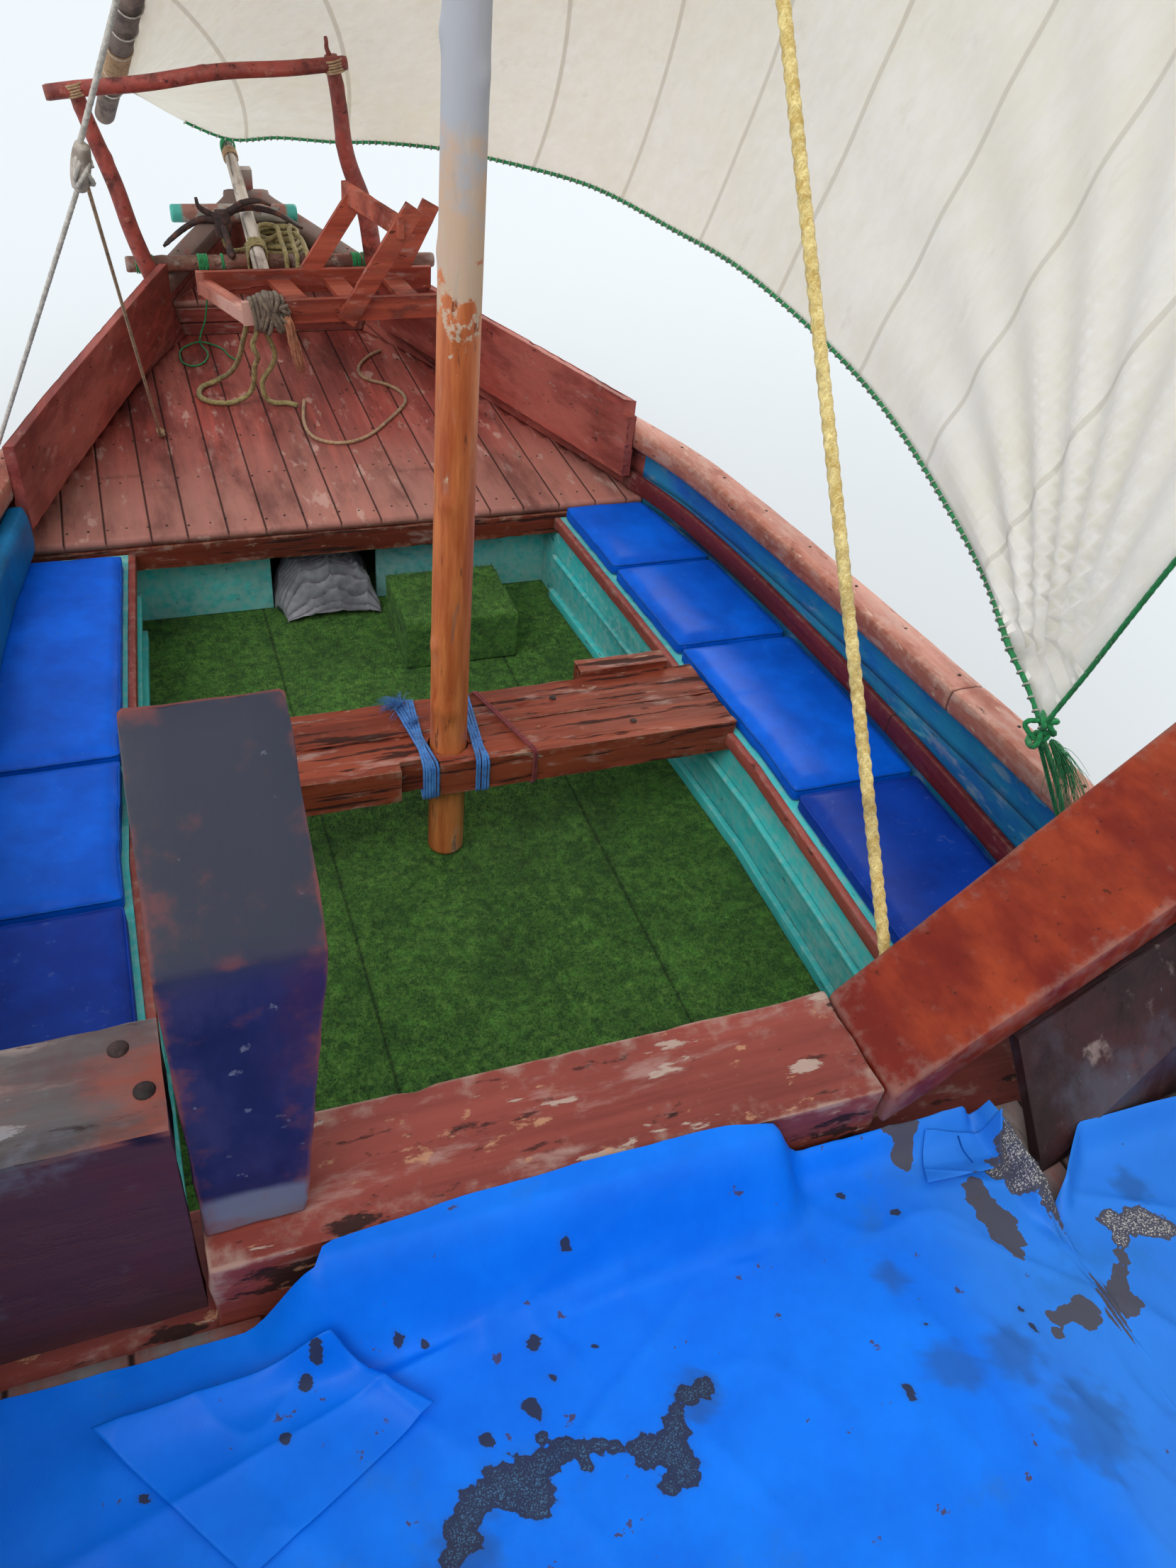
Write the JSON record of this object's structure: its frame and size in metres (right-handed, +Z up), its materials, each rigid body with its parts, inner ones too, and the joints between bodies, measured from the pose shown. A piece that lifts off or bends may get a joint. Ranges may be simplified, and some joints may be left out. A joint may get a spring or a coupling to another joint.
{
  "type": "lateen sailing dhow",
  "caption": "Wooden lateen-rigged dhow with a turf-floored waist between padded benches, a planked foredeck and a raised poop; the yard swings and the rudder turns.",
  "frame": {"origin": "on the centreline at the waterline, 20 mm forward of the mast's axis", "axes": "+X to starboard, +Y to the bow, +Z up"},
  "size_m": [3.5902, 12.0027, 10.2146],
  "materials": {
    "hull_paint": "matt red-brown paint over planks, weathered",
    "rail_paint": "salmon-red paint worn to bare wood",
    "red_wood": "red-painted wood, scuffed",
    "worn_wood": "old red-brown timber, cracked",
    "dark_wood": "dark painted timber",
    "keel_wood": "oiled hardwood",
    "turquoise_paint": "turquoise paint on boards",
    "turf": "short artificial turf",
    "vinyl": "blue coated upholstery cloth",
    "tarp": "blue coated tarpaulin",
    "spar_wood": "varnished round spar, peeling",
    "sailcloth": "cream cotton sailcloth",
    "yellow_rope": "three-strand rope",
    "pale_rope": "weathered rope",
    "pale_wood": "bleached round pole",
    "olive_rope": "old hemp rope",
    "green_rope": "thin plastic line",
    "iron": "rusty forged iron",
    "grey_cloth": "crumpled grey cloth",
    "grey_wood": "greyed timber with old paint"
  },
  "bodies": {
    "hull": {"hull_planking": "hull_paint", "transom": "hull_paint", "cap_rail_port": "rail_paint", "cap_rail_stbd": "rail_paint", "taffrail": "rail_paint", "rubbing_strake_port": "worn_wood", "rubbing_strake_stbd": "worn_wood", "keel_stem_sternpost": "keel_wood", "floor_turf": "turf", "turf_step": "turf", "foredeck": "red_wood", "foredeck_beam": "dark_wood", "bow_deck": "red_wood", "bulkhead_panel_port": "turquoise_paint", "bulkhead_panel_stbd": "turquoise_paint", "bench_port": "turquoise_paint", "bench_stbd": "turquoise_paint", "poop_bulkhead": "turquoise_paint", "washboard_port": "red_wood", "washboard_stbd": "red_wood", "mast_beam_fore": "worn_wood", "mast_beam_aft": "worn_wood", "mast": "spar_wood", "cushion_port_fore": "vinyl", "cushion_port_mid": "vinyl", "cushion_port_aft": "vinyl", "cushion_stbd_corner": "vinyl", "cushion_stbd_fore": "vinyl", "cushion_stbd_mid": "vinyl", "cushion_stbd_aft": "vinyl", "back_pad_port": "vinyl", "poop_front_beam": "worn_wood", "poop_deck": "grey_wood", "poop_wing_port": "grey_wood", "poop_wing_stbd": "red_wood", "poop_wing_boards_stbd": "grey_wood", "poop_post": "dark_wood", "poop_tarp": "tarp", "bow_frame": "worn_wood", "catbeam": "worn_wood", "bowsprit": "pale_wood", "mooring_bar": "turquoise_paint", "anchor": "iron", "boarding_ladder": "red_wood", "sinnet_rope": "olive_rope", "green_line": "green_rope", "tan_rope": "pale_rope", "anchor_rope_coil": "olive_rope", "anchor_rope_lead": "olive_rope", "cloth_bundle": "grey_cloth", "halyard": "yellow_rope", "port_shroud": "pale_rope"},
    "steering": {"rudder": "hull_paint", "tiller": "dark_wood"},
    "rig": {"yard": "spar_wood", "sail": "sailcloth"}
  },
  "joints": [
    {"name": "rudder_turn", "type": "hinge", "parent": "hull", "child": "steering", "pos_m": [0, -6.09, 0.35], "axis": [0, -0.2149, 0.9766], "range_deg": [-35, 35]},
    {"name": "yard_swing", "type": "hinge", "parent": "hull", "child": "rig", "pos_m": [0, -0.02, 5.15], "axis": [0, 0, 1], "range_deg": [-20, 4]}
  ]
}
